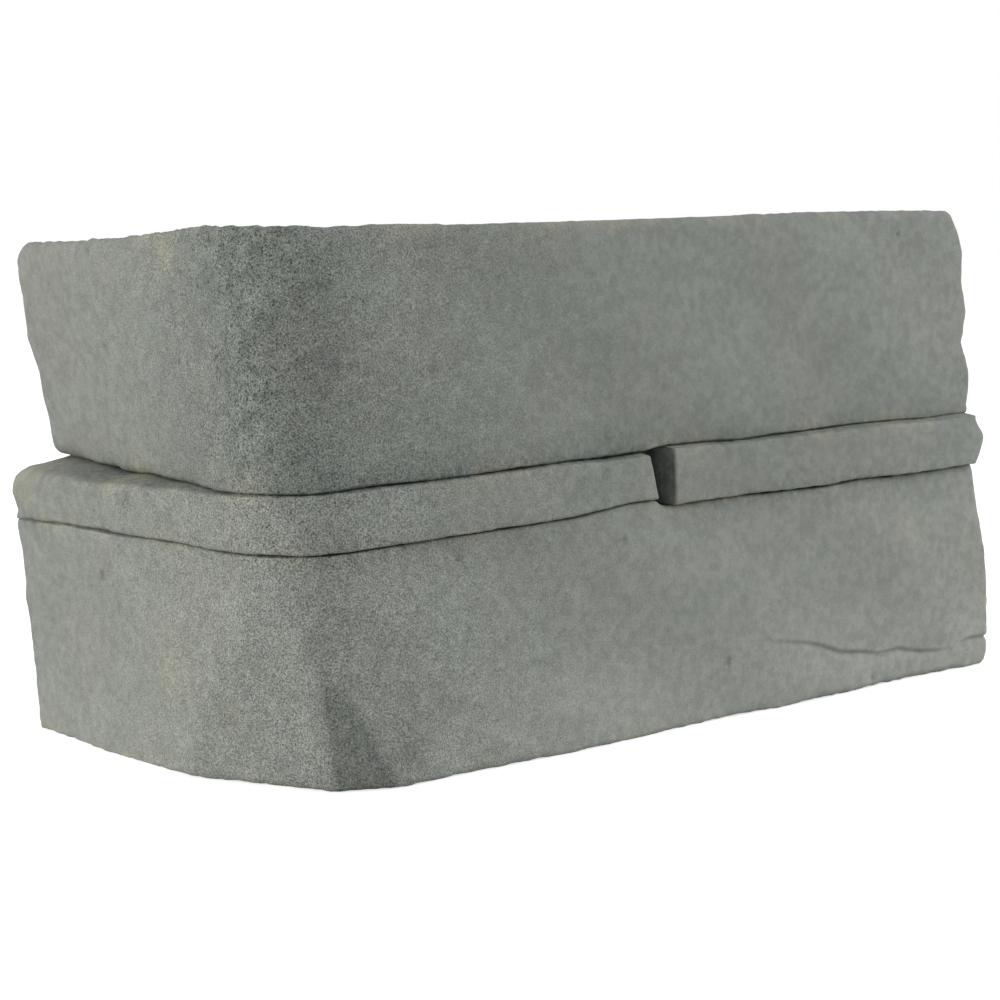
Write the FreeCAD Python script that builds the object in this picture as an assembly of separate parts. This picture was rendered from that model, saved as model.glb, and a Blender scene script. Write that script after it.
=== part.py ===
import FreeCAD, Part
import math
import os

os.makedirs("parts", exist_ok=True)

# Corner piece of concrete siding, cast in one. It stands on its lower bed. Its two outer faces
# copy three courses of worn stone that run round the corner of the wall: a lower stone, a thin
# strip course that stands proud in two lengths, and an upper stone. All sizes in millimetres.
#
# While it is shaped, the face of the short leg looks towards -X from the plane x = 0, the face
# of the long leg looks towards -Y from the plane y = 0, and the lower bed is z = 0.

# Legs, measured from the two face planes to the sawn ends, and their thickness to the wall
long_leg = 272.0
short_leg = 151.0
thickness = 40.0
corner_radius = 22.0

# Heights of the courses, from the bottom up
lower_course = 67.3
strip_course = 16.1
upper_course = 69.0

# Joints between the courses: tight creases, with their depth behind the arrises beside them at the
# short end, the corner and the long end
joint_width = 1.2
lower_joint_depth = (0.6, 3.5, 1.0)
upper_joint_depth = (1.2, 3.0, 1.2)

# Rounding of the worn arrises at the short end, the corner and the long end, and how much it
# varies in between
bed_arris = (1.7, 1.7, 1.7)
lower_arris = (0.8, 1.2, 1.6)
strip_foot_arris = (2.6, 2.4, 2.2)
strip_head_arris = (6.5, 4.0, 4.0)
upper_arris = (3.8, 2.0, 2.2)
top_arris = (4.5, 4.0, 4.0)
end_arris = 2.2
arris_variation = 0.25
arris_length = 62.0

# Lean of each course out of the face planes, as (foot, middle, head) at the short end, round the
# corner and at the long end
lower_lean = ((0.5, 1.5, 4.0), (3.2, 2.0, 1.0), (3.0, 5.0, 0.5))
strip_lean = ((4.6, 4.6, 4.6), (2.0, 2.0, 2.0), (3.2, 3.4, 3.2))
upper_lean = ((-11.4, -5.0, -1.0), (1.0, 1.5, 2.0), (-1.2, -2.8, -3.6))

# The foot of the lower stone's corner is worn to two flats that meet in an upright ridge. Each is
# given by the way it faces, as a turn in degrees from the short face, and by how far it lies from
# the middle of the corner's rounding at the foot. Both run out, at the unworn distance, up the stone
short_flat_turn = 22.0
short_flat_distance = 10.3
long_flat_turn = 58.0
long_flat_distance = 15.4
flats_height = 50.0
unworn_distance = 25.0

# Gentle unevenness of the stone faces, a broad swell that runs aslant and dies out at the ends
swell = 0.9
swell_length = 96.0
swell_height = 70.0

# Both joints dip round the corner. The first strip is taller at the short end and thins from
# below towards the gap, and the second strip stands higher
corner_dip = 1.1
corner_dip_reach = 60.0
short_end_rise = 1.5
short_end_reach = 60.0
first_strip_thinning = 2.2
thinning_reach = 34.0
second_strip_rise = 1.0

# Open vertical joint between the two strips, on the long face
gap_start = 126.8
gap_width = 8.7
gap_slant = 2.7
gap_depth = 9.5

# Crack that splits a thin lip off the foot of the lower stone. It opens from nothing over the
# first of its length, wavers, and runs out at the long end
crack_start = 172.0
crack_start_height = 21.5
crack_end_height = 8.5
crack_sag = 4.0
crack_waver = 0.9
crack_waver_length = 33.0
crack_step = 8.0
crack_width = 1.6
crack_depth = 1.4
crack_start_depth = 0.15
crack_opening_length = 28.0

# Bruise where a flake is lost, beside the ridge of the lower stone's corner
bruise_height = 38.0
bruise_offset = 6.0
bruise_radius = 16.0
bruise_depth = 1.8

# Degree of the smooth faces, the spacing of their control points along the faces, round the corner
# and up each stone, the number up a strip, and the narrow flats that turn a worn arris
smooth_degree = 3
face_step = 20.0
corner_step = 6.0
rise_step = 23.0
strip_points = 1
arris_flats = 2
end_flats = 2
spare = 10.0

height = lower_course + strip_course + upper_course
arc_start = short_leg - corner_radius
arc_end = arc_start + corner_radius * math.pi / 2
corner_middle = (arc_start + arc_end) / 2
face_length = arc_end + long_leg - corner_radius
full_turn = 2 * math.pi


def blend(start, end, share):
    """A smooth change from one value to another as share goes from 0 to 1."""
    share = min(max(share, 0.0), 1.0)
    return start + (end - start) * (1 - math.cos(math.pi * share)) / 2


def along(x):
    """Distance along the faces, from the short end, of a place x on the long leg."""
    return arc_end + x - corner_radius


def spot(s, offset, z):
    """Point at a distance s along the faces, offset outwards from the face planes."""
    if s < arc_start:
        return FreeCAD.Vector(-offset, short_leg - s, z)
    if s > arc_end:
        return FreeCAD.Vector(s - arc_end + corner_radius, -offset, z)
    turn = (s - arc_start) / corner_radius
    reach = corner_radius + offset
    return FreeCAD.Vector(corner_radius - reach * math.cos(turn), corner_radius - reach * math.sin(turn), z)


def by_place(values, s):
    """A value that changes smoothly from the short end to the corner and on to the long end."""
    short_end, corner, long_end = values
    if s < corner_middle:
        return blend(short_end, corner, s / corner_middle)
    return blend(corner, long_end, (s - corner_middle) / (face_length - corner_middle))


def lean(places, s, share):
    """How far a course stands out at s, share of the way up from its foot to its head."""
    feet = (1 - share) * (1 - 2 * share)
    middles = 4 * share * (1 - share)
    heads = share * (2 * share - 1)
    return by_place([feet * foot + middles * middle + heads * head for foot, middle, head in places], s)


def unevenness(s, z):
    """Swell of the cast stone faces."""
    steady = blend(0.0, 1.0, 2 * min(s, face_length - s) / swell_length)
    return -swell * steady * math.cos(full_turn * (s / swell_length + z / swell_height))


def flat_limit(s, z, turn, foot_distance):
    """How far out a worn flat lets the face of the lower stone stand."""
    flat_faces = math.radians(turn)
    stone_faces = min(max((s - arc_start) / corner_radius, 0.0), math.pi / 2)
    before = max(arc_start - s, 0.0)
    beyond = max(s - arc_end, 0.0)
    distance = foot_distance + (unworn_distance - foot_distance) * z / flats_height
    reach = distance + before * math.sin(flat_faces) + beyond * math.cos(flat_faces)
    return reach / math.cos(stone_faces - flat_faces) - corner_radius


def dip(s):
    """How far the joints dip towards the corner."""
    return corner_dip * math.exp(-(((s - corner_middle) / corner_dip_reach) ** 2))


def lower_joint(s):
    """Height of the joint under the strips."""
    beyond_gap_start = s - along(gap_start)
    if beyond_gap_start < 0:
        thinning = blend(first_strip_thinning, 0.0, -beyond_gap_start / thinning_reach)
    else:
        thinning = blend(first_strip_thinning, 0.0, beyond_gap_start / gap_width)
    return lower_course - dip(s) + thinning


def upper_joint(s):
    """Height of the joint over the strips."""
    short_end = blend(short_end_rise, 0.0, s / short_end_reach)
    beyond_gap = blend(0.0, second_strip_rise, (s - along(gap_start)) / gap_width)
    return lower_course + strip_course - dip(s) + short_end + beyond_gap


def lower_face(s, z):
    """How far the lower stone stands out of the face planes."""
    unworn = lean(lower_lean, s, z / lower_course) + unevenness(s, z)
    short_flat = flat_limit(s, z, short_flat_turn, short_flat_distance)
    long_flat = flat_limit(s, z, long_flat_turn, long_flat_distance)
    return min(unworn, short_flat, long_flat)


def strip_face(s, z):
    """How far the strips stand out of the face planes."""
    return lean(strip_lean, s, (z - lower_course) / strip_course)


def upper_face(s, z):
    """How far the upper stone stands out of the face planes."""
    share = (z - lower_course - strip_course) / upper_course
    return lean(upper_lean, s, share) + unevenness(s, z)


def evenly(start, end, step):
    """Places from start up to end, end left out, about one step apart."""
    count = max(1, round((end - start) / step))
    return [start + (end - start) * i / count for i in range(count)]


def quarter_round(radius, flats):
    """Places on a quarter round, each as how far it falls back and how far it has gone along."""
    turns = [math.pi / 2 * i / flats for i in range(flats + 1)]
    return [(radius * (1 - math.sin(turn)), radius * (1 - math.cos(turn))) for turn in turns]


def columns():
    """Places of the control points along the faces, each with how far the face falls back there
    to round the arris at a sawn end."""
    places = evenly(end_arris, arc_start, face_step)[1:]
    places += evenly(arc_start, arc_end, corner_step)
    places += evenly(arc_end, along(gap_start), face_step)
    places += evenly(along(gap_start), along(gap_start + gap_width), face_step)
    places += evenly(along(gap_start + gap_width), face_length - end_arris, face_step)
    worn = quarter_round(end_arris, end_flats)
    short_end = [(gone, fall) for fall, gone in worn]
    long_end = [(face_length - gone, fall) for fall, gone in reversed(worn)]
    return short_end + [(place, 0.0) for place in places] + long_end


def course_column(face, place, foot, head, arrises, inner_points):
    """Control points up one course, each as (offset, height): arris, face, arris."""
    s, fall = place
    variation = 1 + arris_variation * math.cos(full_turn * s / arris_length)
    radii = [by_place(arris, s) * variation for arris in arrises]
    foot_round, head_round = [quarter_round(radius, arris_flats) for radius in radii]
    low = foot + foot_round[-1][1]
    high = head - head_round[-1][1]
    column = [(face(s, foot) - back - fall, foot + up) for back, up in foot_round]
    for i in range(1, inner_points + 1):
        z = low + (high - low) * i / (inner_points + 1)
        column.append((face(s, z) - fall, z))
    return column + [(face(s, head) - back - fall, head - down) for back, down in reversed(head_round)]


def knots(count, degree):
    """Evenly spaced knots of a spline that starts and ends on its first and last points."""
    inner = count - degree - 1
    values = [float(i) for i in range(inner + 2)]
    return values, [degree + 1] + [1] * inner + [degree + 1]


def spline_face(grid):
    """Smooth face over a grid of control points, or a ruled one where it is two points wide."""
    along_degree = min(smooth_degree, len(grid) - 1)
    up_degree = min(smooth_degree, len(grid[0]) - 1)
    along_knots, along_mults = knots(len(grid), along_degree)
    up_knots, up_mults = knots(len(grid[0]), up_degree)
    surface = Part.BSplineSurface()
    surface.buildFromPolesMultsKnots(
        grid, along_mults, up_mults, along_knots, up_knots, False, False, along_degree, up_degree
    )
    return Part.Face(surface)


def bands(points, flats):
    """Splits a row of control points into the flats of the arris at each end and the middle."""
    if len(points) == 2:
        return [points]
    first_flats = [points[i : i + 2] for i in range(flats)]
    last_flats = [points[i : i + 2] for i in range(len(points) - 1 - flats, len(points) - 1)]
    return first_flats + [points[flats : len(points) - flats]] + last_flats


def faces_over(grid):
    """Faces over a grid, one list for each band along the piece, from the foot up."""
    faces = []
    for band in bands(grid, end_flats):
        columns_up = [bands(column, arris_flats) for column in band]
        faces.append([spline_face(list(patch)) for patch in zip(*columns_up)])
    return faces


def joint_root(s, below, above, z, depth):
    """Innermost point of a joint, behind the inner of the two arrises beside it."""
    return (min(below[-1][0], above[0][0]) - by_place(depth, s), z)


def course_grids():
    """Control points of the three stone faces and of the sides of the two joints, from the bottom
    up, each a list of columns."""
    half = joint_width / 2
    lower_count = round(lower_course / rise_step)
    upper_count = round(upper_course / rise_step)
    sections = []
    for place in columns():
        s = place[0]
        low = lower_joint(s)
        high = upper_joint(s)
        lower = course_column(lower_face, place, 0.0, low - half, (bed_arris, lower_arris), lower_count)
        strip = course_column(
            strip_face, place, low + half, high - half, (strip_foot_arris, strip_head_arris), strip_points
        )
        upper = course_column(upper_face, place, high + half, height, (upper_arris, top_arris), upper_count)
        low_root = joint_root(s, lower, strip, low, lower_joint_depth)
        high_root = joint_root(s, strip, upper, high, upper_joint_depth)
        low_sides = [[lower[-1], low_root], [low_root, strip[0]]]
        high_sides = [[strip[-1], high_root], [high_root, upper[0]]]
        rows = [lower] + low_sides + [strip] + high_sides + [upper]
        sections.append([[spot(s, offset, z) for offset, z in row] for row in rows])
    return [list(grid) for grid in zip(*sections)]


def straight_lines(points):
    """Straight edges from each point to the next."""
    return [Part.LineSegment(a, b).toShape() for a, b in zip(points, points[1:])]


def bed(edges, z):
    """Flat bed behind the front edges of the faces, at the foot or the head of the piece."""
    points = [
        edges[-1].valueAt(edges[-1].LastParameter),
        FreeCAD.Vector(long_leg, thickness, z),
        FreeCAD.Vector(thickness, thickness, z),
        FreeCAD.Vector(thickness, short_leg, z),
        edges[0].valueAt(edges[0].FirstParameter),
    ]
    return Part.Face(Part.Wire(edges + straight_lines(points)))


def sawn_end(edges, back):
    """Flat end of a leg: the upright section of the faces and a straight back."""
    foot = edges[0].valueAt(edges[0].FirstParameter)
    head = edges[-1].valueAt(edges[-1].LastParameter)
    back_foot = FreeCAD.Vector(back.x, back.y, 0)
    back_head = FreeCAD.Vector(back.x, back.y, height)
    return Part.Face(Part.Wire(edges + straight_lines([head, back_head, back_foot, foot])))


def wall_side(start, end):
    """Plain upright face that lies against the wall, above a line from start to end."""
    rise = FreeCAD.Vector(0, 0, height)
    return Part.Face(Part.makePolygon([start, end, end + rise, start + rise, start]))


def level_edge(face, side):
    """Edge of a spline face along the piece: side 2 is its foot, side 3 its head."""
    return face.Surface.vIso(face.Surface.bounds()[side]).toShape()


def upright_edge(face, side):
    """Edge of a spline face up the piece: side 0 is towards the short end, side 1 the long end."""
    return face.Surface.uIso(face.Surface.bounds()[side]).toShape()


def panel_body():
    """The cast body: fronts, beds, ends and wall sides, closed into one solid."""
    fronts = [faces_over(grid) for grid in course_grids()]
    foot_edges = [level_edge(band[0], 2) for band in fronts[0]]
    head_edges = [level_edge(band[-1], 3) for band in fronts[-1]]
    short_edges = [upright_edge(face, 0) for course in fronts for face in course[0]]
    long_edges = [upright_edge(face, 1) for course in fronts for face in course[-1]]
    inner_corner = FreeCAD.Vector(thickness, thickness, 0)
    short_back = FreeCAD.Vector(thickness, short_leg, 0)
    long_back = FreeCAD.Vector(long_leg, thickness, 0)
    faces = [face for course in fronts for band in course for face in band]
    faces += [bed(foot_edges, 0), bed(head_edges, height)]
    faces += [sawn_end(short_edges, short_back), sawn_end(long_edges, long_back)]
    faces += [wall_side(inner_corner, short_back), wall_side(inner_corner, long_back)]
    shell = Part.makeShell(faces)
    shell.sewShape()
    solid = Part.makeSolid(shell)
    if solid.Volume < 0:
        solid.reverse()
    return solid


def strip_gap():
    """The open joint between the two strips, which narrows downwards."""
    foot = (lower_joint(along(gap_start)) + lower_joint(along(gap_start + gap_width))) / 2
    head = upper_joint(along(gap_start + gap_width))
    outline = [
        FreeCAD.Vector(gap_start + gap_slant, gap_depth, foot),
        FreeCAD.Vector(gap_start + gap_width, gap_depth, foot),
        FreeCAD.Vector(gap_start + gap_width, gap_depth, head),
        FreeCAD.Vector(gap_start, gap_depth, head),
    ]
    face = Part.Face(Part.makePolygon(outline + outline[:1]))
    return face.extrude(FreeCAD.Vector(0, -gap_depth - spare, 0))


def crack():
    """A V-shaped crack that follows the face of the lower stone to the long end."""
    wedges = []
    run = long_leg + spare - crack_start
    count = round(run / crack_step)
    for i in range(count + 1):
        share = i / count
        x = crack_start + run * share
        z = blend(crack_start_height, crack_end_height, share) - crack_sag * math.sin(math.pi * share)
        z += crack_waver * math.sin(full_turn * run * share / crack_waver_length)
        depth = blend(crack_start_depth, crack_depth, run * share / crack_opening_length)
        face = lower_face(along(x), z)
        spread = crack_width / 2 * (depth + spare) / crack_depth
        root = FreeCAD.Vector(x, -face + depth, z)
        above = FreeCAD.Vector(x, -face - spare, z + spread)
        below = FreeCAD.Vector(x, -face - spare, z - spread)
        wedges.append(Part.makePolygon([root, above, below, root]))
    return Part.makeLoft(wedges, True, True)


def bruise():
    """The hollow that a lost flake left beside the ridge of the lower stone's corner."""
    s = corner_middle + bruise_offset
    offset = lower_face(s, bruise_height) - bruise_depth + bruise_radius
    return Part.makeSphere(bruise_radius, spot(s, offset, bruise_height))


def corner_panel():
    """The whole piece, with its origin on the lower bed, under the middle of its outline: the
    strip at the short end and the belly of the lower stone at the long end stand out farthest."""
    piece = panel_body().cut([strip_gap(), crack(), bruise()])
    middle_x = (long_leg - strip_lean[0][0]) / 2
    middle_y = (short_leg - lower_lean[2][1]) / 2
    piece.translate(FreeCAD.Vector(-middle_x, -middle_y, 0))
    return piece


shape = corner_panel()
print("solids", len(shape.Solids), "valid", shape.isValid(), "volume", round(shape.Volume))
shape.Solids[0].exportStep("parts/corner_panel.step")
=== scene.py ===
import math

import bpy
import numpy as np
from mathutils import Matrix, Vector


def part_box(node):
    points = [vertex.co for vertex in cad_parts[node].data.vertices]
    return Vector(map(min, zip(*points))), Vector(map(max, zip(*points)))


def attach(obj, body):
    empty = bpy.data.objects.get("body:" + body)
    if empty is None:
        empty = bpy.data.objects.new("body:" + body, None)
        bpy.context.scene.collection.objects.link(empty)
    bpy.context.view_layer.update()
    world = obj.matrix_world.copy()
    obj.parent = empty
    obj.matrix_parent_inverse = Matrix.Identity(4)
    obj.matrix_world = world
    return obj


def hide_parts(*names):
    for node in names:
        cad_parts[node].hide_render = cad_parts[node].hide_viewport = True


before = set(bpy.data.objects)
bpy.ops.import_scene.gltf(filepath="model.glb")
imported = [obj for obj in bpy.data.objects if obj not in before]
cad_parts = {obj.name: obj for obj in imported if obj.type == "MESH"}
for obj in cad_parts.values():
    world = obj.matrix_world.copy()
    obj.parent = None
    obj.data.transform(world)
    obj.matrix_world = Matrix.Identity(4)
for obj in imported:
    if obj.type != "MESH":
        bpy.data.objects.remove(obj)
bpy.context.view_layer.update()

# Cast body, its three courses
# The panel is one piece of pigmented concrete, poured into a soft mould with its wall side up. Its
# outer faces copy worn stones that run round the corner of a wall: a lower stone, a thin strip that
# stands proud in two lengths, and an upper stone. It is bedded on the wall in mortar or adhesive.

# Sizes are in millimetres up to the mesh. Offsets are measured outwards from two upright planes. The
# strip stands out of the short one, and the belly of the lower stone out of the long one
mm = 0.001
low_corner, high_corner = (np.array(corner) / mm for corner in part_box("corner_panel"))
strip_reach = 4.6
belly_reach = 4.9
face_x = low_corner[0] + strip_reach
face_y = low_corner[1] + belly_reach
long_leg = high_corner[0] - face_x
short_leg = high_corner[1] - face_y
height = high_corner[2] - low_corner[2]
thickness = 40.0
corner_radius = 22.0
lower_course = 67.3
strip_course = 16.1
upper_course = height - lower_course - strip_course

# Places along the faces are measured from the short end, round the corner, to the long end
arc_start = short_leg - corner_radius
arc_end = arc_start + corner_radius * math.pi / 2
corner_middle = (arc_start + arc_end) / 2
face_length = arc_end + long_leg - corner_radius

# Lean of each course out of the face planes, as (foot, middle, head) at the short end, round the
# corner and at the long end
lower_lean = ((0.5, 1.5, 4.0), (3.2, 2.0, 1.0), (3.0, 5.0, 0.5))
strip_lean = ((4.6, 4.6, 4.6), (2.0, 2.0, 2.0), (3.2, 3.4, 3.2))
upper_lean = ((-11.4, -5.0, -1.0), (1.0, 1.5, 2.0), (-1.2, -2.8, -3.6))
swell = 0.9
swell_length = 96.0
swell_height = 70.0


def blend(start, end, share):
    """A smooth change from one value to another as share goes from 0 to 1."""
    return start + (end - start) * (1 - np.cos(np.pi * np.clip(share, 0.0, 1.0))) / 2


def by_place(values, s):
    """A value that changes smoothly from the short end to the corner and on to the long end."""
    short_end, corner, long_end = values
    before = blend(short_end, corner, s / corner_middle)
    after = blend(corner, long_end, (s - corner_middle) / (face_length - corner_middle))
    return np.where(s < corner_middle, before, after)


def spot(s, offset, z):
    """Points at distances s along the faces, offset outwards from the face planes."""
    turn = np.clip((s - arc_start) / corner_radius, 0, math.pi / 2)
    reach = corner_radius + offset
    x = corner_radius - reach * np.cos(turn) + np.maximum(s - arc_end, 0)
    y = corner_radius - reach * np.sin(turn) - np.minimum(s - arc_start, 0)
    return np.stack([x, y, z + 0 * x], axis=-1)


def lean(places, s, share):
    """How far a course stands out at s, share of the way up from its foot to its head."""
    feet = (1 - share) * (1 - 2 * share)
    middles = 4 * share * (1 - share)
    heads = share * (2 * share - 1)
    leans = [feet * foot + middles * middle + heads * head for foot, middle, head in places]
    return by_place(leans, s)


def unevenness(s, z):
    """Gentle swell of the cast stone faces, which dies out at the ends."""
    steady = blend(0.0, 1.0, 2 * np.minimum(s, face_length - s) / swell_length)
    return -swell * steady * np.cos(2 * math.pi * (s / swell_length + z / swell_height))


def unworn_lower_face(s, z):
    """How far the lower stone would stand out of the face planes if its corner weren't worn."""
    return lean(lower_lean, s, z / lower_course) + unevenness(s, z)


def strip_face(s, z):
    """How far the strips stand out of the face planes."""
    return lean(strip_lean, s, (z - lower_course) / strip_course)


def upper_face(s, z):
    """How far the upper stone stands out of the face planes."""
    return lean(upper_lean, s, (z - lower_course - strip_course) / upper_course) + unevenness(s, z)


# Cast body, the worn corner of its lower stone
# The stone that was copied had lost its corner to two flats, which meet in an upright ridge and run
# out up the stone, and a flake right of the ridge. The mould repeats them in the concrete.

# Each flat is given by the way it faces, as a turn in degrees from the short face, and how far it
# lies from the middle of the corner at the foot and at flats_height
flats = ((22.0, 10.3, 22.2), (58.0, 15.4, 26.2))
flats_height = 50.0
ridge_softness = 0.35
flake_place = (153.0, 39.0)
flake_reach = (5.0, 6.5)
flake_depth = 1.5


def softly_least(first, second, softness):
    """The lesser of two offsets, with the crease between them rounded."""
    nearness = np.clip(1 - np.abs(first - second) / (4 * softness), 0, 1)
    return np.minimum(first, second) - softness * nearness**2


def flat_limit(s, z, turn, foot_distance, high_distance):
    """How far out a worn flat lets the face of the lower stone stand."""
    flat_faces = math.radians(turn)
    stone_faces = np.clip((s - arc_start) / corner_radius, 0, math.pi / 2)
    before = np.maximum(arc_start - s, 0)
    beyond = np.maximum(s - arc_end, 0)
    distance = foot_distance + (high_distance - foot_distance) * z / flats_height
    reach = distance + before * math.sin(flat_faces) + beyond * math.cos(flat_faces)
    return reach / np.cos(stone_faces - flat_faces) - corner_radius


def lower_face(s, z):
    """How far the lower stone stands out of the face planes."""
    offset = unworn_lower_face(s, z)
    for flat in flats:
        offset = softly_least(offset, flat_limit(s, z, *flat), ridge_softness)
    across = (s - flake_place[0]) / flake_reach[0]
    upwards = (z - flake_place[1]) / flake_reach[1]
    return offset - flake_depth * np.exp(-((across**2 + upwards**2) ** 2))


# Cast body, its two ends
# The ends butt against the flat panels beside the corner. They are cast upright, with rounded
# arrises, and are scalloped like broken stone, given as (height, how far out) for each end.

end_arris = 2.2
scallop_reach = 22.0
short_end_scallops = (
    (0, -1.2), (4, -0.4), (8, -0.4), (17, 0), (27, 0.4), (36, 0.4), (42, 1.6), (47, 0), (55, -0.4),
    (65, 0), (67, -1), (70, -2.8), (72, -1.6), (75, 0.4), (77, 1), (80, 0.8), (82, -0.4), (84, -0.8),
    (86, 0.2), (93, -0.2), (98, -1.3), (103, -0.8), (112, -1.6), (118, 0.4), (122, 1.2), (131, 0.4),
    (141, 0), (147, -0.8), (151, -4.5),
)
long_end_scallops = (
    (0, -0.6), (4, 1), (8, 0.5), (18, -0.3), (28, -0.1), (38, -0.4), (46, -1.7), (58, -2.3), (65, -1.6),
    (68, -2.3), (70, -0.9), (73, 0.8), (76, 1.6), (78, 1), (80.5, -1), (82.5, -2.1), (84.4, -1.8),
    (85.2, -0.9), (87, -1.4), (92, 0.2), (98, 0.9), (108, -1.9), (118, 1), (128, -0.8), (137, 0.3),
    (143, -1.3), (148, -4.1), (152, -5.5),
)

# The open joint between the strips, from gap_start along the long leg. The columns of the mesh are
# closer at its two walls than elsewhere, and closest at the rounded ends
gap_start = 126.2
gap_width = 9.3
gap_left, gap_right = (arc_end + x - corner_radius for x in (gap_start, gap_start + gap_width))
column_step = 1.0
fine_step = 0.4
fine_reach = 2.0
arris_rows = 6


def evenly(start, end, step):
    """Places from start up to end, end left out, about one step apart."""
    return np.linspace(start, end, max(1, round((end - start) / step)), endpoint=False)


rounded = end_arris * (1 - np.cos(np.linspace(0, math.pi / 2, arris_rows)))[:-1]
stretches = (
    (end_arris, gap_left - fine_reach, column_step),
    (gap_left - fine_reach, gap_left + fine_reach, fine_step),
    (gap_left + fine_reach, gap_right - fine_reach, column_step),
    (gap_right - fine_reach, gap_right + fine_reach, fine_step),
    (gap_right + fine_reach, face_length - end_arris, column_step),
)
between_ends = [evenly(*stretch) for stretch in stretches]
columns = np.concatenate([
    rounded, *between_ends, [face_length - end_arris], face_length - rounded[::-1]
])


def between(points, places):
    """Values at places between points that are given as (place, value)."""
    return np.interp(places, *np.array(points, float).T)


def scalloped_columns(z):
    """Places of the columns at heights z, moved out and in for the scalloped ends."""
    s = columns + between(long_end_scallops, z) * blend(1, 0, (face_length - columns) / scallop_reach)
    return s - between(short_end_scallops, z) * blend(1, 0, columns / scallop_reach)


def rounded_edge(distance, radius):
    """How far a face falls back at a distance from its edge, to round the arris there."""
    inside = np.clip(distance, 0, radius)
    return radius - np.sqrt(radius**2 - (radius - inside) ** 2)


end_fall = rounded_edge(np.minimum(columns, face_length - columns), end_arris)

# Cast body, the lines of its two level joints
# The joints are tight creases that ribs in the mould pressed in. Both dip round the corner, the
# first strip thins towards the open joint, and the second strip sits a little higher.

corner_dip = 1.1
corner_dip_reach = 60.0
short_end_rise = 1.5
short_end_reach = 60.0
first_strip_thinning = 2.2
thinning_reach = 34.0
second_strip_rise = 1.0
joint_waver = 0.35
joint_waver_length = 17.0


def waver(spacing, seed):
    """Smooth random values between -1 and 1 at the columns, with a new one each spacing."""
    steps = columns / spacing
    values = np.random.default_rng(seed).uniform(-1, 1, int(face_length / spacing) + 2)
    whole = np.floor(steps).astype(int)
    return blend(values[whole], values[whole + 1], steps - whole)


def bell(distance, reach):
    """1 at no distance, and down to 0 over about two reaches."""
    return np.exp(-((distance / reach) ** 2))


dip = corner_dip * bell(columns - corner_middle, corner_dip_reach)
past_gap = columns - gap_left
thinning_before = blend(first_strip_thinning, 0.0, -past_gap / thinning_reach)
thinning_after = blend(first_strip_thinning, 0.0, past_gap / gap_width)
lower_joint = lower_course - dip + np.where(past_gap < 0, thinning_before, thinning_after)
lower_joint = lower_joint + joint_waver * waver(joint_waver_length, seed=3)
rise_at_end = blend(short_end_rise, 0.0, columns / short_end_reach)
rise_past_gap = blend(0.0, second_strip_rise, past_gap / gap_width)
upper_joint = lower_course + strip_course - dip + rise_at_end + rise_past_gap
upper_joint = upper_joint + joint_waver * waver(joint_waver_length, seed=4)

# Cast body, the open joint between its strips
# A wide rib of the mould leaves this joint open in the concrete, with plain walls and a flat root.
# Its left wall slants inwards on its way down. Each wall falls to the root within gap_wall.

gap_slant = 3.0
slant_reach = 6.2
gap_depth = 9.5
gap_arris = 0.7
gap_wall = 0.45


def gap_left_wall(z):
    """Place of the left wall of the open joint at heights z."""
    return gap_left + gap_slant * np.clip((upper_joint - z) / (upper_joint - lower_joint), 0, 1)


def moved_columns(z):
    """Places of the columns at heights z, moved for the scalloped ends and the slanting wall."""
    nearness = blend(1, 0, np.abs(columns - gap_left) / slant_reach)
    return scalloped_columns(z) + (gap_left_wall(z) - gap_left) * nearness


def inside_gap(s, z):
    """How far a place is inside the walls of the open joint, less than 0 beside it."""
    return np.minimum(s - gap_left_wall(z), gap_right - s)


# Cast body, the crack at the foot of its lower stone
# The copied stone had split along its bed there, and the concrete repeats it: a wavering crack, with
# a thin lip under it that lies a little deeper than the face. It runs out shortly before the long
# end, and a second one starts beside it.

# Its course, as (place x on the long leg, height, depth)
crack_course = (
    (160, 23, 0), (168, 22, 0.1), (175, 20.6, 0.5), (186, 18.8, 0.8), (194, 16.6, 0.9),
    (202, 13.6, 1.2), (213, 12, 1.0), (220, 10.4, 0.9), (229, 10.8, 1.0), (240, 8.4, 0.9),
    (249, 7.4, 0.5), (254, 7.6, 0.1), (257, 9, 0.2), (263, 9.8, 1.0), (272, 9.4, 1.2),
)
crack_half_width = 1.1
crack_sharpness = 2.0
lip_drop = 0.3

# A band of fine rows of the mesh lies at crack_level, and follows the crack up and down
crack_level = 12.0
crack_band = 3.0
crack_run_in = 20.0
shift_foot = 1.7
shift_top = 50.0

crack_x, crack_z, crack_in = np.array(crack_course, float).T
crack_s = arc_end + crack_x - corner_radius
crack_depth = np.interp(columns, crack_s, crack_in)
followed = blend(0, 1, (columns - crack_s[0]) / crack_run_in + 1)
crack_height = crack_level + (np.interp(columns, crack_s, crack_z) - crack_level) * followed


def shifted_to_crack(z):
    """Heights z of rows, moved up or down where they lie near the crack."""
    shares = (
        (shift_foot, 0), (crack_level - crack_band, 1), (crack_level + crack_band, 1), (shift_top, 0)
    )
    return z + (crack_height - crack_level) * between(shares, z)


def crack_nearness(z):
    """1 in the middle of the crack, down to 0 at its sides."""
    return np.exp(-((((z - crack_height) / crack_half_width) ** 2) * crack_sharpness))


# Cast body, its arrises and worn edges
# The mould rounds each arris as unevenly as the copied stone had worn. The strip's head slopes like
# a worn ledge at the short end, and the arrises in the joints are tight near the ends.

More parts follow.
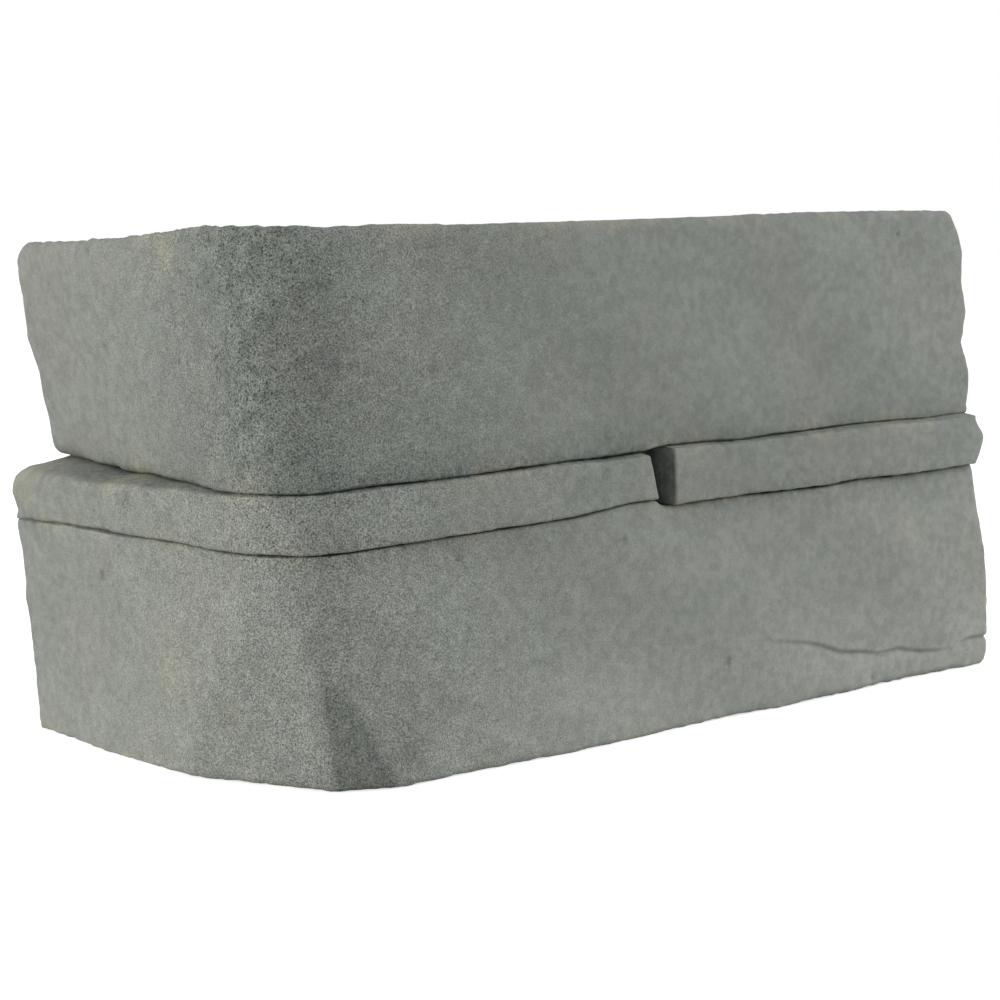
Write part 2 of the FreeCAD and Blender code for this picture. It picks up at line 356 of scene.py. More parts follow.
# Rounding at the short end, the corner and the long end
bed_arris = (0.9, 1.7, 1.7)
lower_arris = (0.8, 0.8, 0.8)
strip_foot_arris = (1.6, 1.0, 0.8)
strip_head_arris = (1.8, 1.0, 0.9)
upper_arris = (3.8, 1.0, 0.7)
top_arris = (3.0, 2.6, 2.6)
end_slope = 5.5
end_slope_reach = 20.0
ledge_drop = (1.7, 0.2, 0.5)
tight_share = 0.2
tight_reach = 12.0
arris_variation = 0.35
arris_waver_length = 11.0
finer_variation = 0.5
finer_waver_length = arris_waver_length / 3
finer_seeds = 50

# Rise and fall of the top edge, and how far the foot is broken away upwards, as (place along the
# faces, height)
top_line = (
    (0, 0), (40, -0.5), (66, 0), (96, 0.8), (117, 1.7), (128, 1.5), (144, 0.9), (158, 0.2),
    (186, 0.3), (204, -0.5), (300, -0.6), (315, -0.1), (345, 0), (396, -0.6), (408, -1),
)
foot_line = (
    (0, 0), (54, -0.6), (90, 0), (116, 0.8), (140, 0.3), (320, 0.1), (338, 2.3), (352, 1.4), (362, 1),
    (374, 1.4), (388, 0.9), (408, 0.2),
)
joint_width = 0.5
row_step = 1.25


def worn(radii, seed):
    """Radius of an arris at the columns, with the unevenness of the stone that was copied."""
    uneven = waver(arris_waver_length, seed)
    uneven = uneven + finer_variation * waver(finer_waver_length, seed + finer_seeds)
    return by_place(radii, columns) * (1 + arris_variation * uneven)


def course_rows(foot, head, foot_radii, head_radii, inner):
    """Heights of the rows up one course, and how far each falls back to round the arrises. The
    values of inner are shares of the height between the arrises."""
    turns = np.linspace(0, math.pi / 2, arris_rows)[:, None]
    flat_foot = foot + foot_radii
    middle = flat_foot + (head - head_radii - flat_foot) * inner[:, None]
    foot_rows = foot + foot_radii * (1 - np.cos(turns))
    head_rows = head - head_radii * (1 - np.cos(turns[::-1]))
    falls = [foot_radii * (1 - np.sin(turns)), 0 * middle, head_radii * (1 - np.sin(turns[::-1]))]
    return np.vstack([foot_rows, middle, head_rows]), np.vstack(falls)


near_short_end = blend(tight_share, 1, columns / tight_reach)
near_long_end = blend(tight_share, 1, (face_length - columns) / tight_reach)
slope = end_slope * np.exp(-columns / end_slope_reach)
crack_share = crack_level / lower_course
band_share = crack_band / lower_course
band_foot, band_head = crack_share - band_share, crack_share + band_share
lower_inner = np.concatenate([
    evenly(0, band_foot, row_step / lower_course)[1:],
    evenly(band_foot, band_head, fine_step / lower_course),
    evenly(band_head, 1, row_step / lower_course),
])
lower_z, lower_fall = course_rows(
    foot=0 * columns,
    head=lower_joint - joint_width / 2,
    foot_radii=worn(bed_arris, seed=11) + between(foot_line, columns),
    head_radii=worn(lower_arris, seed=12) * near_short_end * near_long_end,
    inner=lower_inner,
)
strip_z, strip_fall = course_rows(
    foot=lower_joint + joint_width / 2,
    head=upper_joint - joint_width / 2 - by_place(ledge_drop, columns),
    foot_radii=worn(strip_foot_arris, seed=13) * near_short_end * near_long_end,
    head_radii=worn(strip_head_arris, seed=14) * near_long_end + slope,
    inner=evenly(0, 1, row_step / strip_course)[1:],
)
upper_z, upper_fall = course_rows(
    foot=upper_joint + joint_width / 2,
    head=height + between(top_line, columns),
    foot_radii=worn(upper_arris, seed=15) * near_long_end,
    head_radii=worn(top_arris, seed=16),
    inner=evenly(0, 1, row_step / upper_course)[1:],
)

# The stone faces, with the open joint and the crack cut into them
lower_z = shifted_to_crack(lower_z)
lower_s = moved_columns(lower_z)
lower_offset = lower_face(lower_s, lower_z) - lower_fall - end_fall
in_crack = crack_nearness(lower_z)
under_crack = blend(1, 0, (lower_z - crack_height + crack_half_width) / crack_half_width)
lip = under_crack * np.clip(lower_z / crack_level, 0, 1)
lower_offset = lower_offset - crack_depth * (in_crack + lip_drop * lip)

strip_s = moved_columns(strip_z)
strip_offset = strip_face(strip_s, strip_z) - strip_fall - end_fall
in_gap = inside_gap(strip_s, strip_z)
strip_offset = strip_offset - rounded_edge(-in_gap, gap_arris)
strip_offset = strip_offset + (-gap_depth - strip_offset) * np.clip(in_gap / gap_wall, 0, 1)

upper_s = moved_columns(upper_z)
upper_offset = upper_face(upper_s, upper_z) - upper_fall - end_fall

# Cast body, the creases of its two level joints
# Each crease falls in from the arrises beside it to a narrow root, where pigment, sand and grime
# settled while the concrete was young. Each has its own depth and share of pigment along the faces.

# The courses are (place along the faces, depth behind the arrises, share of pigment)
lower_joint_course = (
    (0, 0.1, 0.3), (10, 0.3, 0.4), (60, 0.4, 0.5), (120, 0.6, 0.5), (135, 1.0, 0.8), (160, 1.5, 0.9),
    (230, 1.2, 0.8), (258, 0.5, 0.3), (268, 0.5, 0.3), (285, 0.8, 0.5), (292, 2.0, 1.0),
    (372, 1.8, 0.9), (386, 0.5, 0.3), (402, 0.1, 0.1),
)
upper_joint_course = (
    (0, 0.8, 0.1), (20, 0.7, 0.3), (40, 0.8, 0.8), (60, 0.9, 0.9), (110, 0.6, 0.5), (135, 0.6, 0.5),
    (150, 1.1, 0.8), (200, 1.6, 0.95), (265, 1.5, 0.9), (285, 0.5, 0.4), (330, 0.9, 0.6),
    (372, 0.5, 0.4), (402, 0.1, 0.1),
)
joint_rows = 4


def crease(below, above, middle_z, course):
    """Rows of a joint, from the edge below in to its root and out again: heights, offsets, pigment."""
    place, depth, pigment = np.array(course, float).T
    share = np.linspace(0, 1, joint_rows + 2)[1:, None]
    root = np.minimum(below[1], above[1]) - np.interp(columns, place, depth)
    heights, offsets = [], []
    for edge_z, edge_offset in (below, above):
        heights.append(edge_z + (middle_z - edge_z) * share)
        offsets.append(edge_offset + (root - edge_offset) * share)
    dark = np.interp(columns, place, pigment) * np.concatenate([share, share[-2::-1]]) ** 3
    in_and_out = [np.vstack([inwards, outwards[-2::-1]]) for inwards, outwards in (heights, offsets)]
    return *in_and_out, dark


lower_head, strip_foot = (lower_z[-1], lower_offset[-1]), (strip_z[0], strip_offset[0])
low_crease_z, low_crease_offset, low_crease_dark = crease(
    lower_head, strip_foot, lower_joint, lower_joint_course
)
strip_head, upper_foot = (strip_z[-1], strip_offset[-1]), (upper_z[0], upper_offset[0])
high_crease_z, high_crease_offset, high_crease_dark = crease(
    strip_head, upper_foot, upper_joint, upper_joint_course
)
bands = (lower_z, low_crease_z, strip_z, high_crease_z, upper_z)


def over_faces(*band_values):
    """One grid of values for the faces, from those of the five bands up them."""
    grids = [np.broadcast_to(values, band.shape) for values, band in zip(band_values, bands)]
    return np.vstack(grids)


front_z = over_faces(*bands)
front_offset = over_faces(
    lower_offset, low_crease_offset, strip_offset, high_crease_offset, upper_offset
)
front = spot(moved_columns(front_z), front_offset, front_z)

# Cast body, its wall side, beds and ends
# The wall side is the open side of the mould, struck off flat. The beds and ends are plain, so that
# the panels butt together. The mesh is the skin of a lattice: rows up, columns along, layers deep.

bed_hollow = 0.6
depth_rows = 15
short_back = short_leg - thickness
long_back = long_leg - thickness
share_before = np.clip(columns / corner_middle, 0, 1)
share_after = np.clip((columns - corner_middle) / (face_length - corner_middle), 0, 1)
back_x = thickness + share_after * long_back
back_y = short_leg - share_before * short_back

# The rows of the wall side lie about as far apart as those of the faces, and level with the joints
row_count = len(front_z)
run = np.hypot(np.diff(front_offset, axis=0), np.diff(front_z, axis=0)).mean(1)
run = np.concatenate([[0], run.cumsum()])
low_root = len(lower_z) + joint_rows
high_root = row_count - len(upper_z) - joint_rows - 1
courses = [0, lower_course, lower_course + strip_course, height]
back_z = np.interp(run, run[[0, low_root, high_root, -1]], courses)
back = np.stack(np.broadcast_arrays(back_x, back_y, back_z[:, None]), axis=-1)

shape = (row_count, len(columns), depth_rows + 1)
skin = np.zeros(shape, bool)
skin[[0, -1]] = True
skin[:, [0, -1]] = True
skin[:, :, [0, -1]] = True
number = np.full(shape, -1)
number[skin] = np.arange(skin.sum())
depth = np.linspace(0, 1, depth_rows + 1)
lattice = front[:, :, None] + (back - front)[:, :, None] * depth[:, None]

# The upper bed is a little hollow behind its edge
lattice[-1, :, :, 2] -= bed_hollow * np.sin(np.pi * np.sqrt(depth))


def quads(sheet, turned):
    """The quads of a sheet of point numbers, turned round where they would face inwards."""
    corners = [sheet[:-1, :-1], sheet[:-1, 1:], sheet[1:, 1:], sheet[1:, :-1]]
    made = np.stack(corners, axis=-1).reshape(-1, 4)
    return made[:, ::-1] if turned else made


faces = np.concatenate([
    quads(number[:, :, 0], False), quads(number[:, :, -1], True),
    quads(number[0], False), quads(number[-1], True),
    quads(number[:, 0], True), quads(number[:, -1], False),
])
points = (lattice[skin] + [face_x, face_y, low_corner[2]]) * mm
body_mesh = bpy.data.meshes.new("cast_body")
body_mesh.from_pydata(points, [], faces)
cast_body = bpy.data.objects.new("cast_body", body_mesh)
bpy.context.collection.objects.link(cast_body)

# Cast body, the marks of its casting and wear
# Pigment and grime lie in and beside the joints, the arrises crumbled, the corner is rubbed down to
# the sand, and stains and smudges came with handling. Shade in the open joint, beside the joints
# beyond the corner and on the right flat is painted in as well. Each mark is a value at the mesh's
# points, which fades out a little way behind the faces.

mark_depth = 4.0


def store(name, values):
    """Stores one value of the lattice for each point of the mesh."""
    mark = body_mesh.attributes.new(name, "FLOAT", "POINT")
    mark.data.foreach_set("value", values[skin].astype(np.float32))


def add_mark(name, front_values):
    """Stores a value for each point of the faces, which fades out behind them."""
    fade = np.clip(1 - depth * thickness / mark_depth, 0, 1)
    store(name, np.broadcast_to(front_values, front_z.shape)[:, :, None] * fade)


# Pigment in the crack and the two level joints, and painted shade on the walls and root of the open
# joint
crack_pigment = 0.22
gap_painted_shade = 0.75
# Painted shade in the open joint: full inside its walls, and fading out over half their arris
gap_shade_here = gap_painted_shade * np.clip((in_gap + gap_arris / 2) / (gap_arris / 2), 0, 1)
pigment_and_gap_shade_here = over_faces(
    crack_pigment * in_crack * np.minimum(crack_depth, 1),
    np.maximum(low_crease_dark, gap_shade_here[0]),
    gap_shade_here,
    np.maximum(high_crease_dark, gap_shade_here[-1]),
    0,
)
add_mark("pigment", pigment_and_gap_shade_here)

# Grime beside the two level joints, most of it over the upper one
grime_reach = 3.5
beside_low_joint = 0.6
under_high_joint = 0.4
low_grime = low_crease_dark[joint_rows]
high_grime = high_crease_dark[joint_rows]


def fading(distance, reach):
    """1 at no distance, and down to about a third one reach away."""
    return np.exp(-distance / reach)


strip_grime = beside_low_joint * low_grime * fading(strip_z - strip_z[0], grime_reach)
strip_grime = strip_grime + under_high_joint * high_grime * fading(strip_z[-1] - strip_z, grime_reach)
grime_here = over_faces(
    beside_low_joint * low_grime * fading(lower_z[-1] - lower_z, grime_reach),
    low_grime,
    strip_grime,
    high_grime,
    high_grime * fading(upper_z - upper_z[0], grime_reach),
)
add_mark("grime", grime_here)

# The arrises have crumbled, most at the foot and at the top edge from the short end to the corner
arris_reach = 2.5
crumbling = 0.45
foot_crumbling = 1.8
top_crumbling = ((155, 2.2), (185, 0.9))


def edge_nearness(heights):
    """1 at the edges of a course and at the ends, down to 0 some way in."""
    from_edge = np.minimum(heights - heights[0], heights[-1] - heights)
    from_edge = np.minimum(from_edge, np.minimum(columns, face_length - columns))
    return fading(from_edge, arris_reach)


near_arris = over_faces(edge_nearness(lower_z), 1, edge_nearness(strip_z), 1, edge_nearness(upper_z))
crumbled_here = crumbling * near_arris
crumbled_here[: len(lower_z) // 2] *= foot_crumbling
crumbled_here[-len(upper_z) // 2 :] *= between(top_crumbling, columns)
add_mark("crumbled", crumbled_here)

# Lime shows pale on the arrises and on the ridge of the worn corner. The right flat beside the
# ridge is found here too, for the painted shade laid on it below
clearly_worn = 1.5
ridge_lime = 0.9
ridge_reach = 1.2
flat_edge = 1.0
left_limit, right_limit = (flat_limit(lower_s, lower_z, *flat) for flat in flats)
worn_away = unworn_lower_face(lower_s, lower_z) - np.minimum(left_limit, right_limit)
worn_away = np.clip(worn_away / clearly_worn, 0, 1)
ridge = worn_away * fading(np.abs(left_limit - right_limit), ridge_reach)
right_flat = worn_away * np.clip((left_limit - right_limit) / flat_edge, 0, 1)
near_arris[: len(lower_z)] += ridge_lime * ridge
add_mark("arris", near_arris)

# Painted shade darkens the right flat and the stones under and over the strip beyond the corner.
# A thin dark wash of pigment lies more or less all along the strips and the upper stone
joint_shade_reach = 9.0
shade_start = 140.0
shade_run_in = 25.0
under_strip_shade = 0.8
over_strip_shade = 0.6
flat_shade_in_wash = 1.3
strip_wash_course = ((110, 0.4), (135, 0.1), (160, 0.4), (250, 0.4), (300, 0.8))
upper_wash_course = ((0, 0.3), (60, 0.4), (100, 1.3), (150, 1.5), (180, 1.1), (402, 0.8))
beyond_corner = blend(0, 1, (columns - shade_start) / shade_run_in)
strip_wash = between(strip_wash_course, columns)
# Painted shade on the stones under and over the strip, beyond the corner
shade_under_joint = under_strip_shade * beyond_corner * fading(np.abs(lower_z - lower_z[-1]), joint_shade_reach)
shade_over_joint = over_strip_shade * beyond_corner * fading(np.abs(upper_z - upper_z[0]), joint_shade_reach)
wash_and_shade_here = over_faces(
    shade_under_joint + flat_shade_in_wash * right_flat,
    strip_wash,
    strip_wash,
    strip_wash,
    shade_over_joint + between(upper_wash_course, columns),
)
add_mark("wash_and_shade", wash_and_shade_here)

# A stain runs down the corner, strongest on the upper stone. On the right flat the same mark
# carries painted shade
stain_place = 136.0
stain_reach = 20.0
stain_at_foot = 0.2
stain_rise_start = 60.0
stain_rise = 60.0
flat_shade_in_stain = 0.5
stain_and_shade_here = bell(columns - stain_place, stain_reach)
stain_and_shade_here = stain_and_shade_here * blend(stain_at_foot, 1, (front_z - stain_rise_start) / stain_rise)
# Painted shade on the right flat of the worn corner
stain_and_shade_here[: len(lower_z)] += flat_shade_in_stain * right_flat
add_mark("stain_and_shade", stain_and_shade_here)

# Smudges and filled air holes, and pale grains and patches, as (place along the faces, height,
# radius, strength)
dark_spots = (
    (254, 90, 2.0, 0.6), (259, 87, 1.6, 0.5), (198, 60, 1.8, 0.6), (256, 59, 1.6, 0.5),
    (295, 18, 2.0, 0.6), (54, 121, 1.6, 0.7), (52, 149, 1.5, 0.5), (12, 67, 1.2, 0.9),
    (54, 54, 1.4, 0.9), (72, 77, 2.0, 0.7), (178, 8, 5.0, 0.5), (250, 79, 2.5, 0.4),
    (240, 77, 2.5, 0.4), (372, 104, 3.0, 0.3), (190, 22, 3.0, 0.3),
)
pale_spots = (
    (299, 66.8, 0.9, 1.0), (62, 84, 7.0, 0.5), (97, 147, 6.0, 0.45), (10, 78, 7.0, 0.35),
    (92, 30, 10.0, 0.3), (376, 50, 6.0, 0.25), (118, 20, 4.0, 0.25),
)
for name, spots in (("dark_spot", dark_spots), ("pale_spot", pale_spots)):
    spots_here = 0 * front_z
    for s, z, radius, strength in spots:
        here = strength * bell(np.hypot(columns - s, front_z - z), radius)
        spots_here = np.maximum(spots_here, here)
    add_mark(name, spots_here)

# The foot is rubbed paler beyond the corner, and a little before it
rubbed_height = 42.0
rubbed_start = 175.0
rubbed_run_in = 20.0
rubbed_before = 148.0
rubbed_less = 0.4
rubbed_here = blend(0, 1, (columns - rubbed_start) / rubbed_run_in)
rubbed_here = rubbed_here + rubbed_less * (columns < rubbed_before)
add_mark("rubbed_foot", rubbed_here * blend(1, 0, front_z / rubbed_height))

# The skin of cement is worn off the corner and its sand shows there, and less and less either way
sandy_place = 140.0
sandy_reach = 84.0
add_mark("sandy", bell(columns - sandy_place, sandy_reach))

# The arrises round the wall side, and those between the beds and the ends, are knocked off a little
edge = np.zeros(shape)
edge[[0, -1], :, -1] = 1
edge[:, [0, -1], -1] = 1
edge[[0, -1], [[0], [-1]]] = 1
store("back_edge", edge)

# Cast body, relief of the stone
# Shallow lumps, sand, crumbled arrises and small air holes, as the concrete took them from the
# mould. They are set off from the smooth faces along their normals. The real sand is finer than the
# mesh, so its grains are drawn as coarse as the mesh shows, and the finish adds the finer ones.

# Only cells of the air holes' pattern above pit_chance have one. Sizes are shares of a cell
pit_chance = 0.7
largest_pit = 0.13
pit_rim = 0.05


def add_node(tree, kind, inputs=None, **settings):
    """Adds a node with its settings, feeds its inputs with values or with outputs of other nodes,
    and gives back its first live output."""
    node = tree.nodes.new(kind)
    for name, value in settings.items():
        setattr(node, name, value)
    for socket, value in (inputs or {}).items():
        if isinstance(value, bpy.types.NodeSocket):
            tree.links.new(value, node.inputs[socket])
        else:
            node.inputs[socket].default_value = value
    return next((output for output in node.outputs if output.enabled), None)


relief = bpy.data.node_groups.new("stone_relief", "GeometryNodeTree")
relief.interface.new_socket("Geometry", in_out="INPUT", socket_type="NodeSocketGeometry")
relief_sizes = {
    "Lump size": 16 * mm,
    "Lump height": 0.8 * mm,
    "Grain size": 3.0 * mm,
    "Grain height": 0.35 * mm,
    "Crumb size": 5.0 * mm,
    "Crumb depth": 2.0 * mm,
    "Pit spacing": 12 * mm,
    "Pit depth": 0.7 * mm,
    "Edge wear": 0.6 * mm,
    "Seed": 4.0,
}
for name in relief_sizes:
    relief.interface.new_socket(name, in_out="INPUT", socket_type="NodeSocketFloat")
relief.interface.new_socket("Material", in_out="INPUT", socket_type="NodeSocketMaterial")
relief.interface.new_socket("Geometry", in_out="OUTPUT", socket_type="NodeSocketGeometry")
given = relief.nodes.new("NodeGroupInput").outputs
place = add_node(relief, "GeometryNodeInputPosition")
normal = add_node(relief, "GeometryNodeInputNormal")
crumbled, back_edge = (
    add_node(relief, "GeometryNodeInputNamedAttribute", {"Name": name}, data_type="FLOAT")
    for name in ("crumbled", "back_edge")
)


def bumps(size, height, detail):
    """Height of the bumps of one size of roughness, as much outwards as inwards."""
    scale = add_node(relief, "ShaderNodeMath", {0: 1.0, 1: given[size]}, operation="DIVIDE")
    inputs = {"Vector": place, "W": given["Seed"], "Scale": scale, "Detail": detail}
    noise = add_node(relief, "ShaderNodeTexNoise", inputs, noise_dimensions="4D")
    about_zero = add_node(relief, "ShaderNodeMath", {0: noise, 1: 0.5}, operation="SUBTRACT")
    return add_node(relief, "ShaderNodeMath", {0: about_zero, 1: given[height]}, operation="MULTIPLY")


lumps = bumps("Lump size", "Lump height", detail=2.0)
grains = bumps("Grain size", "Grain height", detail=1.0)
crumbs = bumps("Crumb size", "Crumb depth", detail=3.0)
crumbs = add_node(relief, "ShaderNodeMath", {0: crumbs, 1: crumbled}, operation="MULTIPLY")
pit_scale = add_node(relief, "ShaderNodeMath", {0: 1.0, 1: given["Pit spacing"]}, operation="DIVIDE")
cells = add_node(relief, "ShaderNodeTexVoronoi", {"Vector": place, "Scale": pit_scale}).node.outputs
chance = add_node(relief, "ShaderNodeSeparateXYZ", {0: cells["Color"]})
radii = {0: chance, 1: pit_chance, 2: 1.0, 3: 0.0, 4: largest_pit}
pit_radius = add_node(relief, "ShaderNodeMapRange", radii)
inside_pit = {0: pit_radius, 1: cells["Distance"]}
inside_pit = add_node(relief, "ShaderNodeMath", inside_pit, operation="SUBTRACT")
pit = add_node(relief, "ShaderNodeMapRange", {0: inside_pit, 1: 0.0, 2: pit_rim})
outwards = add_node(relief, "ShaderNodeMath", {0: lumps, 1: grains}, operation="ADD")
outwards = add_node(relief, "ShaderNodeMath", {0: outwards, 1: crumbs}, operation="ADD")
for share, size in ((pit, "Pit depth"), (back_edge, "Edge wear")):
    inwards = add_node(relief, "ShaderNodeMath", {0: share, 1: given[size]}, operation="MULTIPLY")
    outwards = add_node(relief, "ShaderNodeMath", {0: outwards, 1: inwards}, operation="SUBTRACT")
move = add_node(relief, "ShaderNodeVectorMath", {0: normal, 3: outwards}, operation="SCALE")
solid = add_node(relief, "GeometryNodeSetPosition", {"Geometry": given["Geometry"], "Offset": move})

# The lower bed stands on its highest grains, so nothing reaches below it
moved = add_node(relief, "GeometryNodeInputPosition")
x, y, z = add_node(relief, "ShaderNodeSeparateXYZ", {0: moved}).node.outputs
z = add_node(relief, "ShaderNodeMath", {0: z, 1: float(low_corner[2] * mm)}, operation="MAXIMUM")
moved = add_node(relief, "ShaderNodeCombineXYZ", {0: x, 1: y, 2: z})
solid = add_node(relief, "GeometryNodeSetPosition", {"Geometry": solid, "Position": moved})
solid = add_node(
    relief, "GeometryNodeStoreNamedAttribute", {"Geometry": solid, "Name": "pit", "Value": pit},
    data_type="FLOAT", domain="POINT",
)
solid = add_node(relief, "GeometryNodeRealizeInstances", {"Geometry": solid})
solid = add_node(relief, "GeometryNodeSetMaterial", {"Geometry": solid, "Material": given["Material"]})
add_node(relief, "NodeGroupOutput", {0: solid})

# Cast body, its pigmented concrete
# Cement, sand and a grey-green oxide pigment, cast in a mould and left matt. The eye sees fine dark
# and light sand, slow changes between cool and warm grey, and pigment that gathered in the joints.

# The two dark pigment colours also paint shade: in the open joint, beside the joints beyond the corner
# and on the right flat
cool_grey = "#8a908a"
warm_grey = "#8e8f89"
rubbed_grey = "#a6aaa3"
dark_pigment_and_shade = "#525a55"
joint_pigment_and_gap_shade = "#3a423e"
lime_cream = "#a8a48f"
sand_dark = "#3c4440"
sand_light = "#c9ccc4"

# The real sand is 0.3 to 0.5 mm across, about one pixel of the render. Single grains are drawn about
# twice that far apart, so that they show
dark_spacing = 0.8 * mm
light_spacing = 0.6 * mm
light_share = 0.34
grain_size = 0.45 * mm
bump_size = 0.8 * mm
bump_height = 0.2 * mm


def linear(colour):
    """An sRGB hex colour as linear red, green, blue and alpha."""
    lit = []
    for place in (1, 3, 5):
        share = int(colour[place : place + 2], 16) / 255
        lit.append(share / 12.92 if share <= 0.04045 else ((share + 0.055) / 1.055) ** 2.4)
    return [*lit, 1]


concrete = bpy.data.materials.new("pigmented_cast_concrete")
concrete.use_nodes = True
tree = concrete.node_tree
shader = tree.nodes["Principled BSDF"]
shader.inputs["Roughness"].default_value = 0.9
shader.inputs["IOR"].default_value = 1.5
shader.inputs["Specular IOR Level"].default_value = 0.25
where = tree.nodes.new("ShaderNodeTexCoord").outputs["Object"]
mark_names = (
    "pigment", "grime", "arris", "wash_and_shade", "stain_and_shade",
    "dark_spot", "pale_spot", "rubbed_foot", "sandy", "pit",
)
marks = {
    name: add_node(tree, "ShaderNodeAttribute", attribute_name=name).node.outputs["Fac"]
    for name in mark_names
}


def cloud(size, detail, noise, seed, values=(0.0, 1.0)):
    """Patches of a size, with the first of values where their noise is low and the second where it
    is high. The noise gathers round 0.5, so its low and high are set near that."""
    inputs = {"Vector": where, "W": seed, "Scale": 1 / size, "Detail": detail, "Roughness": 0.6}
    patches = add_node(tree, "ShaderNodeTexNoise", inputs, noise_dimensions="4D")
    ranges = {0: patches, 1: noise[0], 2: noise[1], 3: values[0], 4: values[1]}
    return add_node(tree, "ShaderNodeMapRange", ranges)


def sand(spacing, share):
    """Sand grains as small uneven spots about a spacing apart, of which a share shows. Each cell of
    the pattern has one grain, and sizes are shares of a cell."""
    wobble_reach = 0.8
    largest_radius = 0.5
    rim = (-0.06, 0.1)
    wobble = add_node(tree, "ShaderNodeTexNoise", {"Vector": where, "Scale": 2 / spacing})
    wobble = wobble.node.outputs["Color"]
    wobble = {0: wobble, 3: wobble_reach * spacing}
    wobble = add_node(tree, "ShaderNodeVectorMath", wobble, operation="SCALE")
    moved = add_node(tree, "ShaderNodeVectorMath", {0: where, 1: wobble}, operation="ADD")
    cells = add_node(tree, "ShaderNodeTexVoronoi", {"Vector": moved, "Scale": 1 / spacing})
    cells = cells.node.outputs
    chance = add_node(tree, "ShaderNodeSeparateXYZ", {0: cells["Color"]})
    radius = add_node(tree, "ShaderNodeMath", {0: share, 1: chance}, operation="SUBTRACT")
    radius = add_node(tree, "ShaderNodeMath", {0: radius, 1: largest_radius}, operation="MINIMUM")
    inside = add_node(tree, "ShaderNodeMath", {0: radius, 1: cells["Distance"]}, operation="SUBTRACT")
    return add_node(tree, "ShaderNodeMapRange", {0: inside, 1: rim[0], 2: rim[1]})


# Dark sand lies in crowds, thickest in the stain and beside the joints, and on the right flat, where
# the stain mark also carries painted shade. Its share rises from the first of dark_shares where it is
# thin to the second where crowds, stain and grime add up to thickest
dark_shares = (0.18, 0.66)
thickest = 1.5
crowd = cloud(9 * mm, detail=3.0, noise=(0.4, 0.6), seed=6.0, values=(0.0, 0.5))
for mark in ("stain_and_shade", "grime"):
    crowd = add_node(tree, "ShaderNodeMath", {0: crowd, 1: marks[mark]}, operation="ADD")
crowding = {0: crowd, 1: 0.0, 2: thickest, 3: dark_shares[0], 4: dark_shares[1]}
dark_share = add_node(tree, "ShaderNodeMapRange", crowding)
dark_sand = sand(dark_spacing, dark_share)
light_sand = sand(light_spacing, light_share)

# How much the sand, the grain and the bumps show where the cement skin is whole, and at the corner,
# where it is worn off
sand_shows, grain_shows, bump_shows = (
    add_node(tree, "ShaderNodeMapRange", {0: marks["sandy"], 3: whole, 4: worn_off})
    for whole, worn_off in ((0.16, 1.0), (0.06, 0.44), (0.25, 0.9))
)

slow_change = cloud(38 * mm, detail=3.0, noise=(0.35, 0.65), seed=1.0, values=(0.2, 0.8))
stain_patches = cloud(6 * mm, detail=5.0, noise=(0.42, 0.6), seed=3.0)
lime_patches = cloud(22 * mm, detail=3.0, noise=(0.5, 0.62), seed=4.0)
grime_crumbs = cloud(1.8 * mm, detail=3.0, noise=(0.4, 0.58), seed=9.0)
smudge_crumbs = cloud(1.5 * mm, detail=3.0, noise=(0.4, 0.55), seed=11.0)
joint_crumbs = cloud(3 * mm, detail=3.0, noise=(0.38, 0.55), seed=10.0, values=(0.7, 1.0))
pale_crumbs = cloud(3 * mm, detail=2.0, noise=(0.3, 0.5), seed=12.0, values=(0.4, 1.0))

# Layers of colour from the lowest up, as (colour, how strong it is, what it is kept to)
layers = (
    (warm_grey, 1.0, (slow_change,)),
    (rubbed_grey, 0.6, (marks["rubbed_foot"],)),
    # Stain, and painted shade on the right flat
    (dark_pigment_and_shade, 0.55, (marks["stain_and_shade"], stain_patches)),
    # Wash, and painted shade beside the joints beyond the corner and on the right flat
    (dark_pigment_and_shade, 0.22, (marks["wash_and_shade"],)),
    (lime_cream, 0.4, (marks["arris"], lime_patches)),
    (sand_dark, 0.65, (dark_sand, sand_shows)),
    (sand_light, 0.35, (light_sand, sand_shows)),
    (sand_dark, 0.4, (marks["pit"],)),
    (dark_pigment_and_shade, 0.65, (marks["grime"], grime_crumbs)),
    (dark_pigment_and_shade, 1.0, (marks["dark_spot"], smudge_crumbs)),
    # Pigment in the joints and the crack, and painted shade in the open joint
    (joint_pigment_and_gap_shade, 1.0, (marks["pigment"], joint_crumbs)),
    (lime_cream, 1.0, (marks["pale_spot"], pale_crumbs)),
)
colour = linear(cool_grey)
for layer_colour, amount, kept_to in layers:
    for share in kept_to:
        amount = add_node(tree, "ShaderNodeMath", {0: amount, 1: share}, operation="MULTIPLY")
    mixed = {0: amount, 6: colour, 7: linear(layer_colour)}
    colour = add_node(tree, "ShaderNodeMix", mixed, data_type="RGBA")

# Grain of the finest sand, and mottling in two sizes, lighten and darken what is there
finest = cloud(grain_size, detail=1.5, noise=(0.38, 0.62), seed=5.0, values=(-1.0, 1.0))
graining = {0: finest, 1: grain_shows, 2: 1.0}
brightness = add_node(tree, "ShaderNodeMath", graining, operation="MULTIPLY_ADD")
for mottling in (
    cloud(3 * mm, detail=2.5, noise=(0.38, 0.62), seed=5.2, values=(0.91, 1.09)),
    cloud(11 * mm, detail=4.0, noise=(0.35, 0.65), seed=2.0, values=(0.955, 1.045)),
):
    brightness = add_node(tree, "ShaderNodeMath", {0: brightness, 1: mottling}, operation="MULTIPLY")
colour = add_node(tree, "ShaderNodeVectorMath", {0: colour, 3: brightness}, operation="SCALE")
tree.links.new(colour, shader.inputs["Base Color"])

